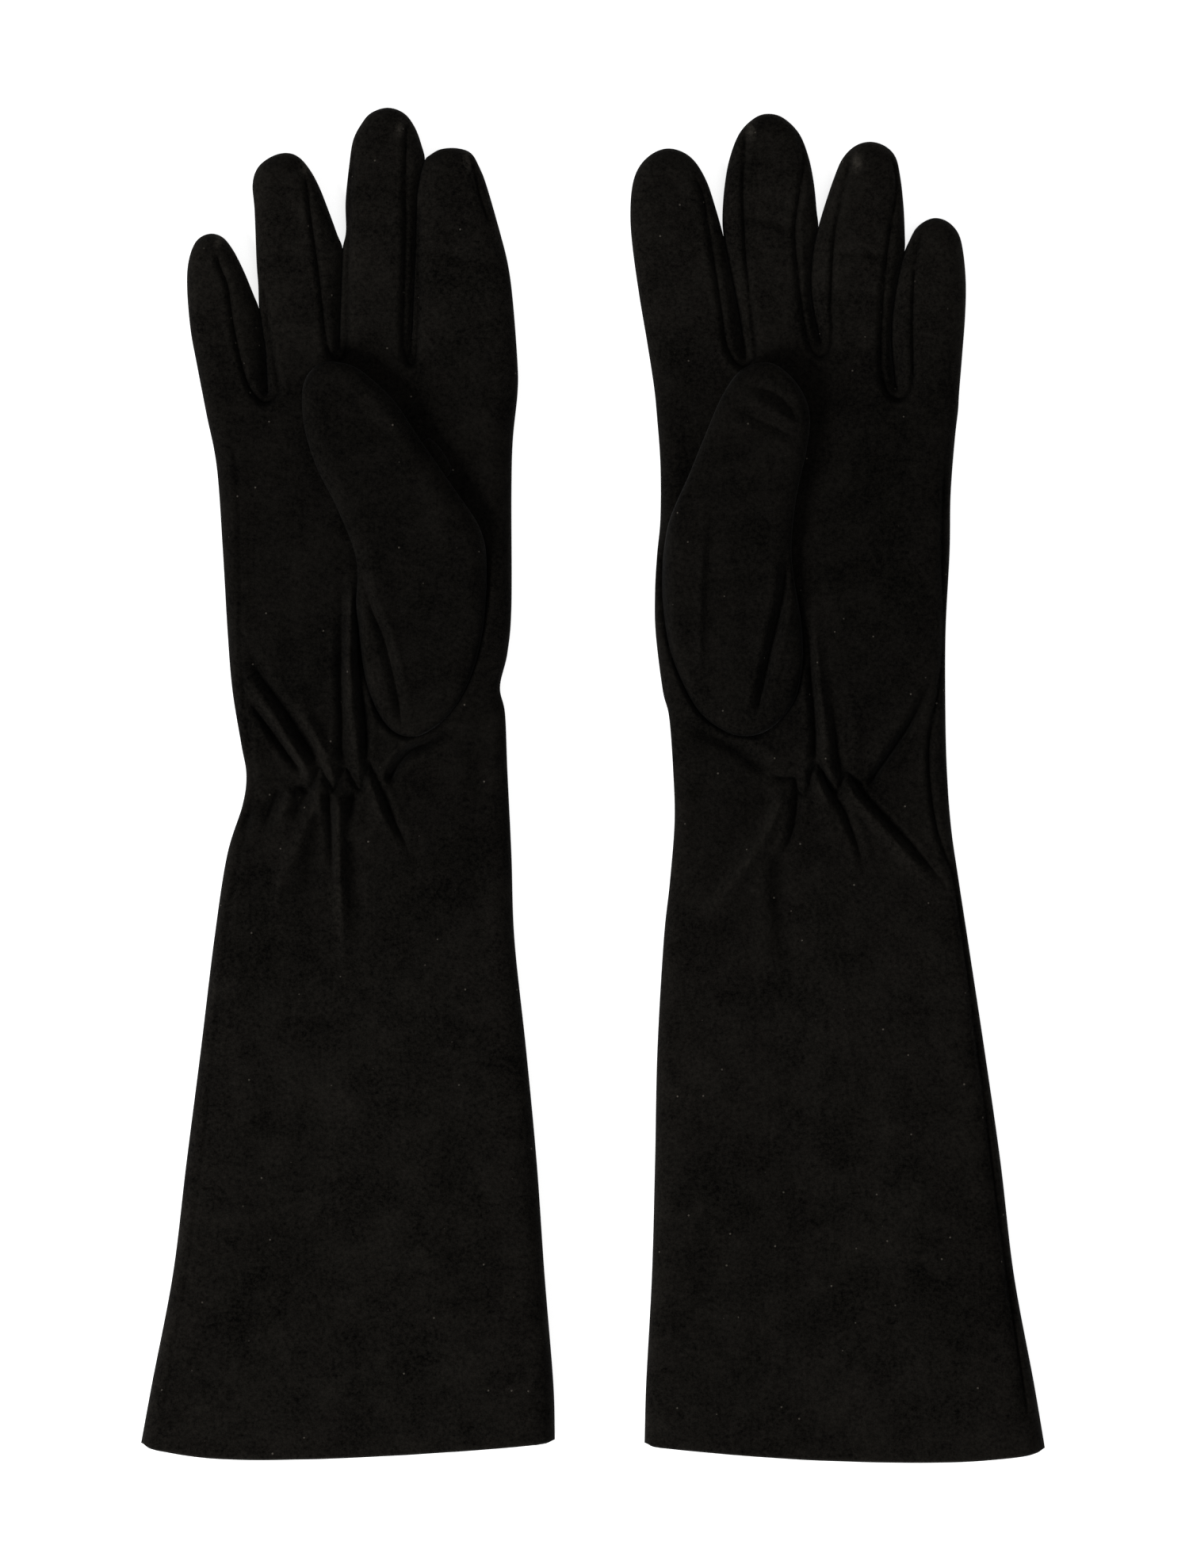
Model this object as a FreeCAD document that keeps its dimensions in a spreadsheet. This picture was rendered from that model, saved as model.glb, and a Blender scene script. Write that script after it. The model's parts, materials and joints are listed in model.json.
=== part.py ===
"""A pair of long suede opera gloves, laid flat with the palms up.

Each glove is a flattened tube of thin skins: an arm, a hand, four fingers and a thumb that is
folded up over the palm. The skins are shallow trays, one facing up (the back of the hand, which
rests on the table) and one facing down (the palm side), and side strips called fourchettes close
the fingers where they face each other. Millimetres, +Z up, fingers towards +Y, both wrists on
the X axis, and the table at Z = 0.
"""

import FreeCAD, Part
import math
import os

import Sketcher
from FreeCAD import Placement, Rotation, Vector

# ---------------------------------------------------------------- driving dimensions

COMMON_SIZES = {
    "skin": 1.0,
    "edge_round": 2.0,
    "joint_gap": 0.4,
    "overshoot": 3.0,
    "arm_height": 12.0,
    "hand_height": 11.0,
    "finger_height": 10.0,
    "thumb_height": 8.6,
    "fourchette_inset": 0.4,
    "fourchette_clearance": 0.1,
    "elastic_thickness": 0.8,
    "elastic_width": 6.0,
    "elastic_set_back": 1.5,
    "hem_y": -198.0,
    "forearm_y": -112.0,
    "lower_arm_y": -22.0,
    "wrist_y": 0.0,
    "heel_y": 35.0,
    "palm_y": 85.0,
    "little_base_y": 113.0,
    "finger_base_y": 124.0,
}

# Where the glove's two edges lie at each named height: the little-finger side, then the index side.
EDGES = {
    "right": {
        "hem": (-134.2, -11.4),
        "forearm": (-120.8, -16.9),
        "lower_arm": (-108.8, -24.4),
        "wrist": (-103.6, -25.6),
        "heel": (-108.1, -26.0),
        "palm": (-110.7, -24.4),
        "little_base": (-114.8, -23.4),
        "finger_base": (-98.4, -22.8),
    },
    "left": {
        "hem": (133.8, 15.0),
        "forearm": (120.6, 18.1),
        "lower_arm": (106.9, 23.3),
        "wrist": (105.1, 23.8),
        "heel": (104.1, 19.5),
        "palm": (105.8, 20.0),
        "little_base": (107.9, 18.3),
        "finger_base": (89.2, 16.9),
    },
}

# Each finger: centre of its base, width there, length to the centre of its round tip,
# how far the tip leans along X, and the tip's radius.
FINGERS = {
    "right": {
        "index": (-38.2, 30.6, 53.5, -4.2, 10.2),
        "middle": (-64.4, 18.0, 66.5, 1.6, 9.4),
        "ring": (-86.5, 24.2, 53.0, -4.7, 10.0),
        "little": (-107.4, 16.4, 41.0, -4.8, 8.8),
    },
    "left": {
        "index": (30.6, 27.4, 53.5, -8.1, 10.6),
        "middle": (55.7, 20.4, 63.5, -3.7, 11.0),
        "ring": (77.8, 21.6, 55.5, 3.2, 10.5),
        "little": (99.2, 18.2, 46.0, 1.8, 9.0),
    },
}

# Each thumb in its own frame, which stands at the middle of the fold at its root with Y along the
# thumb: place of the frame, its turn in degrees, width at the root, length to the centre of the
# round tip, tip radius, and the centre and radius of the lobe that is sewn into the palm.
THUMB_MEASURES = ("x", "y", "turn", "width", "length", "tip_radius", "lobe_x", "lobe_y", "lobe_radius")
THUMBS = {
    "right": (-51.0, 62.0, 25.0, 37.5, 55.0, 11.4, -12.9, -27.6, 17.5),
    "left": (39.0, 64.0, -15.0, 37.5, 49.0, 11.8, 12.0, -29.4, 18.5),
}

# The two ends of each wrist elastic along X.
ELASTICS = {"right": (-94.0, -46.0), "left": (38.0, 92.0)}

FINGER_ORDER = ("index", "middle", "ring", "little")
FINGER_MEASURES = ("x", "width", "length", "lean", "tip_radius")
SIDES = ("little_side", "index_side")

document = FreeCAD.newDocument("opera_gloves")
sheet = document.addObject("Spreadsheet::Sheet", "dims")


def fill_sheet():
    """Write every driving dimension into the sheet as a named cell."""
    sizes = dict(COMMON_SIZES)
    for glove in EDGES:
        for station, pair in EDGES[glove].items():
            for side, x in zip(SIDES, pair):
                sizes[f"{glove}_{station}_{side}"] = x
        for finger, measures in FINGERS[glove].items():
            for measure, number in zip(FINGER_MEASURES, measures):
                sizes[f"{glove}_{finger}_{measure}"] = number
        for measure, number in zip(THUMB_MEASURES, THUMBS[glove]):
            sizes[f"{glove}_thumb_{measure}"] = number
        sizes[f"{glove}_elastic_start"], sizes[f"{glove}_elastic_end"] = ELASTICS[glove]
    for row, (name, number) in enumerate(sizes.items(), start=1):
        sheet.set(f"A{row}", name)
        sheet.set(f"B{row}", str(number))
        sheet.setAlias(f"B{row}", name)
    document.recompute()


def number_of(expression):
    """The present value of an expression on the sheet's cells."""
    return float(sheet.evalExpression(expression))


# ---------------------------------------------------------------- sketches and features


def new_body(label):
    body = document.addObject("PartDesign::Body", label)
    body.Label = label
    return body


def new_sketch(body, height, frame=None):
    """A sketch parallel to the body's XY plane at a height, optionally shifted and turned by a frame."""
    plane = [item for item in body.Origin.OriginFeatures if item.Role == "XY_Plane"][0]
    sketch = body.newObject("Sketcher::SketchObject", body.Name + "_sketch")
    sketch.AttachmentSupport = [(plane, "")]
    sketch.MapMode = "FlatFace"
    sketch.setExpression("AttachmentOffset.Base.z", height)
    if frame:
        along_x, along_y, turn = frame
        sketch.AttachmentOffset = Placement(Vector(), Rotation(Vector(0, 0, 1), number_of(turn)))
        sketch.setExpression("AttachmentOffset.Base.x", along_x)
        sketch.setExpression("AttachmentOffset.Base.y", along_y)
        sketch.setExpression("AttachmentOffset.Rotation.Angle", turn)
    return sketch


def bind(sketch, constraint, expression):
    index = sketch.addConstraint(constraint)
    sketch.setExpression(f"Constraints[{index}]", expression)


def pin_point(sketch, geometry, end, point):
    """Hold one end (or centre) of a piece of geometry at a point given by two expressions."""
    x, y = point
    bind(sketch, Sketcher.Constraint("DistanceX", -1, 1, geometry, end, number_of(x)), x)
    bind(sketch, Sketcher.Constraint("DistanceY", -1, 1, geometry, end, number_of(y)), y)


def vector_of(point):
    return Vector(number_of(point[0]), number_of(point[1]), 0)


def draw_polygon(sketch, corners):
    """A closed run of straight lines through the corners."""
    places = [vector_of(corner) for corner in corners]
    lines = []
    for place, following in zip(places, places[1:] + places[:1]):
        lines.append(sketch.addGeometry(Part.LineSegment(place, following)))
    for line, following in zip(lines, lines[1:] + lines[:1]):
        sketch.addConstraint(Sketcher.Constraint("Coincident", line, 2, following, 1))
    for line, corner in zip(lines, corners):
        pin_point(sketch, line, 1, corner)


def tangent_point(start, centre, radius, side):
    """Where the line from start touches the circle, on the given side (+1 or -1) of the way there."""
    way = start - centre
    angle = math.atan2(way.y, way.x) + side * math.acos(radius / way.Length)
    return angle, centre + Vector(math.cos(angle), math.sin(angle), 0) * radius


def draw_capped_strip(sketch, left, right, centre, radius):
    """A strip from a straight base to a round tip; left and right are as seen looking to the tip."""
    start, end, middle = vector_of(left), vector_of(right), vector_of(centre)
    size = number_of(radius)
    left_angle, left_touch = tangent_point(start, middle, size, -1)
    right_angle, right_touch = tangent_point(end, middle, size, 1)
    circle = Part.Circle(middle, Vector(0, 0, 1), size)
    left_line = sketch.addGeometry(Part.LineSegment(start, left_touch))
    cap = sketch.addGeometry(Part.ArcOfCircle(circle, right_angle, left_angle))
    right_line = sketch.addGeometry(Part.LineSegment(right_touch, end))
    base = sketch.addGeometry(Part.LineSegment(end, start))
    sketch.addConstraint(Sketcher.Constraint("Tangent", left_line, 2, cap, 2))
    sketch.addConstraint(Sketcher.Constraint("Tangent", cap, 1, right_line, 1))
    sketch.addConstraint(Sketcher.Constraint("Coincident", right_line, 2, base, 1))
    sketch.addConstraint(Sketcher.Constraint("Coincident", base, 2, left_line, 1))
    pin_point(sketch, base, 1, right)
    pin_point(sketch, base, 2, left)
    pin_point(sketch, cap, 3, centre)
    bind(sketch, Sketcher.Constraint("Radius", cap, size), radius)


def pad(body, sketch, length, downward=False):
    feature = body.newObject("PartDesign::Pad", body.Name + "_pad")
    feature.Profile = sketch
    feature.Reversed = downward
    feature.setExpression("Length", length)
    body.Tip = feature
    document.recompute()
    return feature


def pocket(body, sketch, depth, upward=False):
    """Cut away from the sketch, down into the body or up into it, and make sure that it cut."""
    before = body.Shape.Volume
    feature = body.newObject("PartDesign::Pocket", body.Name + "_pocket")
    feature.Profile = sketch
    feature.Reversed = upward
    feature.setExpression("Length", depth)
    body.Tip = feature
    document.recompute()
    if body.Shape.Volume >= before:
        raise RuntimeError(f"{body.Label}: a pocket cut nothing")


def round_rim(body, feature, level):
    """Round the long outer edges that lie at one level, and leave the open ends square."""
    flat = 1e-4
    names = []
    for index, edge in enumerate(feature.Shape.Edges, start=1):
        ends = [vertex.Point for vertex in edge.Vertexes]
        if any(abs(end.z - level) > flat for end in ends):
            continue
        run = ends[-1] - ends[0]
        if edge.Curve.TypeId == "Part::GeomLine" and abs(run.x) > abs(run.y):
            continue
        names.append(f"Edge{index}")
    fillet = body.newObject("PartDesign::Fillet", body.Name + "_fillet")
    fillet.Base = (feature, names)
    fillet.setExpression("Radius", "dims.edge_round")
    body.Tip = fillet
    document.recompute()


def make_tray(label, draw_outside, draw_inside, bottom, height, palm_side):
    """Half of a flattened tube: a flat skin with a rim, open at mid-height and at the tube's ends."""
    body = new_body(label)
    half = f"({height}) / 2"
    level = f"{bottom} + {height}" if palm_side else bottom
    outside = new_sketch(body, level)
    draw_outside(outside)
    block = pad(body, outside, half, downward=palm_side)
    round_rim(body, block, number_of(level))
    inside = new_sketch(body, f"{bottom} + {half}")
    draw_inside(inside)
    pocket(body, inside, f"{half} - dims.skin", upward=palm_side)
    return body


# ---------------------------------------------------------------- arm and hand


def towards_index(glove):
    """Which way along X the index side lies from the little-finger side."""
    return "+" if glove == "right" else "-"


def towards_little(glove):
    return "-" if glove == "right" else "+"


def edge_x(glove, station, side, inset=False):
    cell = f"dims.{glove}_{station}_{side}"
    if not inset:
        return cell
    inward = towards_index(glove) if side == "little_side" else towards_little(glove)
    return f"{cell} {inward} dims.skin"


def tube_corners(glove, little_run, index_run, inset):
    """Corners up the little-finger side and back down the index side; each run lists (station, y, push)."""
    corners = []
    for station, y, push in little_run:
        level = f"{y} {push} dims.overshoot" if inset and push else y
        corners.append((edge_x(glove, station, "little_side", inset), level))
    for station, y, push in reversed(index_run):
        level = f"{y} {push} dims.overshoot" if inset and push else y
        corners.append((edge_x(glove, station, "index_side", inset), level))
    return corners


def arm_corners(glove, inset):
    run = [
        ("hem", "dims.hem_y", "-"),
        ("forearm", "dims.forearm_y", ""),
        ("lower_arm", "dims.lower_arm_y", ""),
        ("wrist", "dims.wrist_y - dims.joint_gap", "+"),
    ]
    return tube_corners(glove, run, run, inset)


def hand_corners(glove, inset):
    """The hand ends in a step: the little finger starts lower than the other three."""
    start = [
        ("wrist", "dims.wrist_y + dims.joint_gap", "-"),
        ("heel", "dims.heel_y", ""),
        ("palm", "dims.palm_y", ""),
    ]
    step = "dims.little_base_y - dims.joint_gap"
    top = "dims.finger_base_y - dims.joint_gap"
    little_run = start + [("little_base", step, "+"), ("finger_base", step, "+"), ("finger_base", top, "+")]
    index_run = start + [("little_base", step, ""), ("finger_base", top, "+")]
    return tube_corners(glove, little_run, index_run, inset)


def make_tube(glove, section, corners, height):
    """The palm-side and back-side skins of an arm or a hand."""
    skins = {}
    for side in ("palm", "back"):
        skins[side] = make_tray(
            f"{glove}_{section}_{side}_skin",
            lambda sketch: draw_polygon(sketch, corners(glove, False)),
            lambda sketch: draw_polygon(sketch, corners(glove, True)),
            "0",
            height,
            palm_side=(side == "palm"),
        )
    return skins


def make_elastic(glove):
    """The elastic tape sewn inside the palm side of the wrist, which gathers the suede."""
    body = new_body(f"{glove}_wrist_elastic")
    upper = "dims.wrist_y - dims.elastic_set_back"
    lower = f"{upper} - dims.elastic_width"
    start, end = f"dims.{glove}_elastic_start", f"dims.{glove}_elastic_end"
    sketch = new_sketch(body, "dims.arm_height - dims.skin - dims.fourchette_clearance")
    draw_polygon(sketch, [(start, lower), (end, lower), (end, upper), (start, upper)])
    pad(body, sketch, "dims.elastic_thickness", downward=True)
    return body


# ---------------------------------------------------------------- fingers


def finger_name(glove, finger):
    return f"dims.{glove}_{finger}"


def draw_finger(sketch, glove, finger, inset):
    """The finger's outline about the centre of its base, or the same one skin further in."""
    cell = finger_name(glove, finger)
    trim = "dims.skin" if inset else "0"
    base = "-dims.overshoot" if inset else "0"
    left = (f"-{cell}_width / 2 + {trim}", base)
    right = (f"{cell}_width / 2 - {trim}", base)
    draw_capped_strip(sketch, left, right, (f"{cell}_lean", f"{cell}_length"), f"{cell}_tip_radius - {trim}")


def side_strip_corners(glove, finger, side, outer, inner, base):
    """A strip along one straight side of a finger, between two insets from its outline."""
    cell = finger_name(glove, finger)
    sign = "-" if side < 0 else ""
    inward = "+" if side < 0 else "-"
    root = f"{sign}{cell}_width / 2 {inward}"
    tip = f"{cell}_lean {'-' if side < 0 else '+'} {cell}_tip_radius {inward}"
    end = f"{cell}_length"
    return [
        (f"{root} ({outer})", base),
        (f"{root} ({inner})", base),
        (f"{tip} ({inner})", end),
        (f"{tip} ({outer})", end),
    ]


def place_finger(body, glove, finger):
    """Put a finger's body at the centre of its base line."""
    base = "little_base_y" if finger == "little" else "finger_base_y"
    body.setExpression("Placement.Base.x", f"{finger_name(glove, finger)}_x")
    body.setExpression("Placement.Base.y", f"dims.{base} + dims.joint_gap")


def fourchette_sides(glove, finger):
    """Each neighbour of a finger, with the side (-1 or +1 along X) that faces it."""
    position = FINGER_ORDER.index(finger)
    outward = -1 if glove == "right" else 1
    neighbours = {}
    if position + 1 < len(FINGER_ORDER):
        neighbours[FINGER_ORDER[position + 1]] = outward
    if position > 0:
        neighbours[FINGER_ORDER[position - 1]] = -outward
    return neighbours


def make_finger(glove, finger):
    """Two skins with their rims cut away where the fourchettes stand, and the fourchettes."""
    sides = fourchette_sides(glove, finger)
    slot = "dims.fourchette_inset + dims.skin + dims.fourchette_clearance"
    for side in ("palm", "back"):
        body = make_tray(
            f"{glove}_{finger}_{side}_skin",
            lambda sketch: draw_finger(sketch, glove, finger, False),
            lambda sketch: draw_finger(sketch, glove, finger, True),
            "0",
            "dims.finger_height",
            palm_side=(side == "palm"),
        )
        for direction in sides.values():
            window = new_sketch(body, "dims.finger_height / 2")
            corners = side_strip_corners(glove, finger, direction, "-dims.overshoot", slot, "-dims.overshoot")
            draw_polygon(window, corners)
            pocket(body, window, "dims.finger_height / 2 - dims.skin", upward=(side == "palm"))
        place_finger(body, glove, finger)
    for neighbour, direction in sides.items():
        strip = new_body(f"{glove}_{finger}_fourchette_by_{neighbour}")
        sketch = new_sketch(strip, "dims.skin + dims.fourchette_clearance")
        inner = "dims.fourchette_inset + dims.skin"
        draw_polygon(sketch, side_strip_corners(glove, finger, direction, "dims.fourchette_inset", inner, "0"))
        pad(strip, sketch, "dims.finger_height - 2 * (dims.skin + dims.fourchette_clearance)")
        place_finger(strip, glove, finger)


# ---------------------------------------------------------------- thumb


def thumb_name(glove):
    return f"dims.{glove}_thumb"


def draw_thumb(sketch, glove, inset):
    """The thumb's tube from the fold at its root to its round tip, in the thumb's own frame."""
    cell = thumb_name(glove)
    trim = "dims.skin" if inset else "0"
    base = "dims.joint_gap - dims.overshoot" if inset else "dims.joint_gap"
    left = (f"-{cell}_width / 2 + {trim}", base)
    right = (f"{cell}_width / 2 - {trim}", base)
    draw_capped_strip(sketch, left, right, ("0", f"{cell}_length"), f"{cell}_tip_radius - {trim}")


def draw_lobe(sketch, glove, trim, base):
    """The lobe below the fold, which runs down into the palm, in the thumb's own frame."""
    cell = thumb_name(glove)
    left = (f"{cell}_width / 2 - {trim}", base)
    right = (f"-{cell}_width / 2 + {trim}", base)
    centre = (f"{cell}_lobe_x", f"{cell}_lobe_y")
    draw_capped_strip(sketch, left, right, centre, f"{cell}_lobe_radius - {trim}")


def place_thumb(body, glove):
    """Stand a body's frame on the palm at the fold of the thumb, turned along the thumb."""
    cell = thumb_name(glove)
    turn = Rotation(Vector(0, 0, 1), number_of(f"{cell}_turn"))
    body.Placement = Placement(Vector(), turn)
    body.setExpression("Placement.Base.x", f"{cell}_x")
    body.setExpression("Placement.Base.y", f"{cell}_y")
    body.setExpression("Placement.Base.z", "dims.hand_height")
    body.setExpression("Placement.Rotation.Angle", f"{cell}_turn")


def make_thumb(glove, hand_palm_skin):
    """The thumb's two skins, the lobe at its root, and the oval hole in the palm under the lobe."""
    for side in ("upper", "lower"):
        body = make_tray(
            f"{glove}_thumb_{side}_skin",
            lambda sketch: draw_thumb(sketch, glove, False),
            lambda sketch: draw_thumb(sketch, glove, True),
            "dims.joint_gap",
            "dims.thumb_height",
            palm_side=(side == "upper"),
        )
        place_thumb(body, glove)

    lobe = new_body(f"{glove}_thumb_base_skin")
    top = "dims.joint_gap + dims.thumb_height"
    outside = new_sketch(lobe, top)
    draw_lobe(outside, glove, "0", "-dims.joint_gap")
    block = pad(lobe, outside, top, downward=True)
    round_rim(lobe, block, number_of(top))
    inside = new_sketch(lobe, "0")
    draw_lobe(inside, glove, "dims.skin", "dims.overshoot")
    pocket(lobe, inside, f"{top} - dims.skin", upward=True)
    place_thumb(lobe, glove)

    cell = thumb_name(glove)
    frame = (f"{cell}_x", f"{cell}_y", f"{cell}_turn")
    hole = new_sketch(hand_palm_skin, "dims.hand_height / 2", frame)
    draw_lobe(hole, glove, "2 * dims.skin", "-dims.joint_gap")
    pocket(hand_palm_skin, hole, "dims.hand_height", upward=True)


# ---------------------------------------------------------------- whole pair


def make_glove(glove):
    make_tube(glove, "arm", arm_corners, "dims.arm_height")
    hand = make_tube(glove, "hand", hand_corners, "dims.hand_height")
    make_elastic(glove)
    for finger in FINGER_ORDER:
        make_finger(glove, finger)
    make_thumb(glove, hand["palm"])


def write_parts():
    """Check every object of the document, then write one STEP file for each sub-part."""
    document.recompute()
    for item in document.Objects:
        if "Invalid" in item.State or "Error" in item.State:
            raise RuntimeError(f"{item.Label} failed: {item.State}")
    bodies = [item for item in document.Objects if item.TypeId == "PartDesign::Body"]
    for body in bodies:
        if body.Shape.isNull() or not body.Shape.isValid() or len(body.Shape.Solids) != 1:
            raise RuntimeError(f"{body.Label} is not one valid solid")
    os.makedirs("parts", exist_ok=True)
    for body in bodies:
        body.Shape.exportStep(os.path.join("parts", body.Label + ".step"))
    print(len(bodies), "parts written")


fill_sheet()
for glove_name in EDGES:
    make_glove(glove_name)
write_parts()
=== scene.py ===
"""A pair of black suede opera gloves, laid flat with the palms up.

Every piece is a sewn skin, drawn in plan and given its height: an outline is filled with a fine
mesh, and a palm sheet and a back sheet meet in a rolled edge. Seams and gathers are curves that
press the sheets in or lift them. Lengths are in millimetres until a mesh is made.
"""

import json
import math

import bpy
import numpy as np
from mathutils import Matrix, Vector, geometry, kdtree, noise


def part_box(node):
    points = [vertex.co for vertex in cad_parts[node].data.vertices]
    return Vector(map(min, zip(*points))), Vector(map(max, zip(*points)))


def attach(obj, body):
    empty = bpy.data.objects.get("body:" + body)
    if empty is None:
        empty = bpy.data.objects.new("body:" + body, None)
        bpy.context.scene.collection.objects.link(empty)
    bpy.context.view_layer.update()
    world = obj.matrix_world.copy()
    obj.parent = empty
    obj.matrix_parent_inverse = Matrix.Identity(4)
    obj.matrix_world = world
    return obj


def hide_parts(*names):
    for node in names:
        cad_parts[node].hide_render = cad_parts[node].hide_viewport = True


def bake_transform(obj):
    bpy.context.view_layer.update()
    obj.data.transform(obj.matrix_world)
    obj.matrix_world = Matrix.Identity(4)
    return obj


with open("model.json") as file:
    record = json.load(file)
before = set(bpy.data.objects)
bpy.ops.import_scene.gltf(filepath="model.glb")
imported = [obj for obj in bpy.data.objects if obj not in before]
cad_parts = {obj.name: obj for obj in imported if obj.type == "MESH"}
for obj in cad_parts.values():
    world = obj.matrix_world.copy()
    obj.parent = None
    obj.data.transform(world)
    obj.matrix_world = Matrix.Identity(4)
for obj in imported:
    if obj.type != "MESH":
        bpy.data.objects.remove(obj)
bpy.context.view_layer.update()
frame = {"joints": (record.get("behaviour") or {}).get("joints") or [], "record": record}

MM = 0.001
JOINTS = {joint["name"]: joint for joint in frame["joints"]}
GLOVES = ("right", "left")
FINGERS = ("little", "ring", "middle", "index")


def joint_place(name):
    """Where a joint turns, in millimetres."""
    return np.array(JOINTS[name]["pos_m"]) / MM


# ---------------------------------------------------------------- outlines
# A point is (across, along): across is along X from the glove's wrist joint, and along is the distance
# up the glove from it. The rim runs from the hem up the little-finger side and down the index side.

SIDES = {
    "right": {
        "little": [(-69.6, -196), (-66.3, -178), (-60.2, -146), (-56.2, -113), (-52.0, -80), (-48.0, -47),
                   (-44.2, -22), (-39.6, -7), (-38.5, 2), (-40.0, 11), (-42.6, 27), (-44.0, 44), (-45.4, 68),
                   (-47.2, 93), (-50.3, 109)],
        "index": [(42.0, 115), (40.6, 101), (40.2, 85), (40.2, 52), (39.0, 38), (36.8, 28), (38.3, 20),
                  (39.0, 3), (40.2, -22), (41.1, -47), (44.6, -80), (47.7, -113), (50.0, -146),
                  (52.6, -178), (53.1, -195)],
        "hem": [(35, -196.8), (12, -198.4), (-10, -199.5), (-32, -200.1), (-50, -199.5), (-63, -197.6)],
    },
    "left": {
        "little": [(69.2, -197.5), (65.9, -178), (60.0, -146), (56.1, -113), (51.4, -80), (46.4, -47),
                   (43.8, -30), (41.5, -14), (40.3, 2), (39.8, 19), (39.8, 44), (41.0, 68), (41.3, 85),
                   (42.5, 101), (43.5, 110)],
        "index": [(-46.7, 117), (-45.8, 108), (-44.8, 94), (-44.8, 78), (-45.8, 67), (-46.4, 56),
                  (-46.2, 44), (-44.1, 27), (-42.2, 19), (-41.0, 3), (-40.6, -12), (-42.0, -30),
                  (-43.8, -47), (-45.7, -80), (-46.4, -113), (-47.3, -146), (-49.0, -178), (-49.5, -196)],
        "hem": [(-36, -197.4), (-15, -199.2), (10, -200.5), (40, -200.8), (60, -199.4)],
    },
}

# Each finger's free edge, over its tip, from where it parts from its neighbour on the little-finger side.
TIPS = {
    "right": {
        "little": [(-53.2, 124), (-55.0, 134), (-56.0, 146), (-55.6, 154), (-53.4, 160), (-49.6, 162.3),
                   (-45.6, 161.4), (-42.4, 157.6), (-39.2, 151.4), (-36.4, 144.6)],
        "ring": [(-34.9, 147), (-35.4, 154), (-36.0, 169), (-36.6, 177), (-35.0, 182), (-31.0, 185.2),
                 (-26.5, 186.3), (-22.8, 185), (-19.5, 181.2), (-16.7, 176), (-13.8, 168.6), (-11.4, 162)],
        "middle": [(-8.9, 163), (-9.0, 172), (-7.9, 183), (-6.8, 190), (-4.4, 194.8), (-1.4, 198.2),
                   (3.6, 199.7), (8.4, 198), (11.6, 193.8), (13.6, 188.4)],
        "index": [(15.9, 185.6), (19.2, 187.4), (24.0, 187.7), (28.2, 186.2), (30.8, 181.8), (33.0, 176),
                  (37.0, 162), (39.2, 153), (40.6, 142.5), (42.0, 124)],
    },
    "left": {
        "little": [(43.8, 115), (44.7, 126), (45.6, 138), (45.8, 148), (45.0, 157), (43.6, 162.4),
                   (40.6, 165.8), (37.1, 167), (33.9, 166.2), (30.9, 163.8), (28.9, 160)],
        "ring": [(27.7, 163), (27.3, 171), (26.4, 179), (25.0, 185), (21.9, 188.3), (17.5, 189.6),
                 (13.0, 188.4), (9.2, 184.6), (6.6, 178.6), (3.9, 170.6)],
        "middle": [(1.6, 169), (0.8, 177), (-0.8, 185), (-3.6, 192), (-8.2, 196.6), (-12.6, 197.9),
                   (-16.8, 196.7), (-21.3, 192.2), (-24.3, 184.5), (-25.8, 176), (-26.4, 167)],
        "index": [(-28.7, 171), (-31.1, 178), (-34.4, 183.6), (-38.2, 186.6), (-42.9, 187.6), (-47.6, 185.8),
                  (-51.3, 181.8), (-53.2, 176), (-53.7, 167), (-52.9, 157), (-50.9, 143), (-48.7, 130)],
    },
}

# Where each finger touches the next one, from where they part down to the fork.
VALLEYS = {
    "right": {
        "little": [(-34.6, 139.8), (-33.6, 133), (-32.7, 124.7), (-32.4, 117.4), (-32.6, 115.1)],
        "ring": [(-9.9, 157.7), (-10.2, 149.6), (-10.5, 141.3), (-10.8, 133), (-11.2, 127.6)],
        "middle": [(14.5, 184.1), (13.2, 179.8), (12.0, 172.5), (11.6, 161.1), (10.8, 138.2), (10.1, 126.3)],
    },
    "left": {
        "little": [(27.6, 156.9), (26.0, 150.9), (24.6, 143.5), (23.7, 136.1), (23.7, 127.7), (24.8, 116.7)],
        "ring": [(2.0, 164), (0.6, 158.2), (-0.2, 150.9), (-0.1, 143.5), (1.2, 136.1), (2.5, 130)],
        "middle": [(-25.9, 160.8), (-24.4, 152.9), (-22.7, 144.5), (-21.2, 136.1), (-19.9, 125.8)],
    },
}
# How far neighbouring fingers press over that line, so that no light shows between them.
OVERLAP = 0.04

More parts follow.
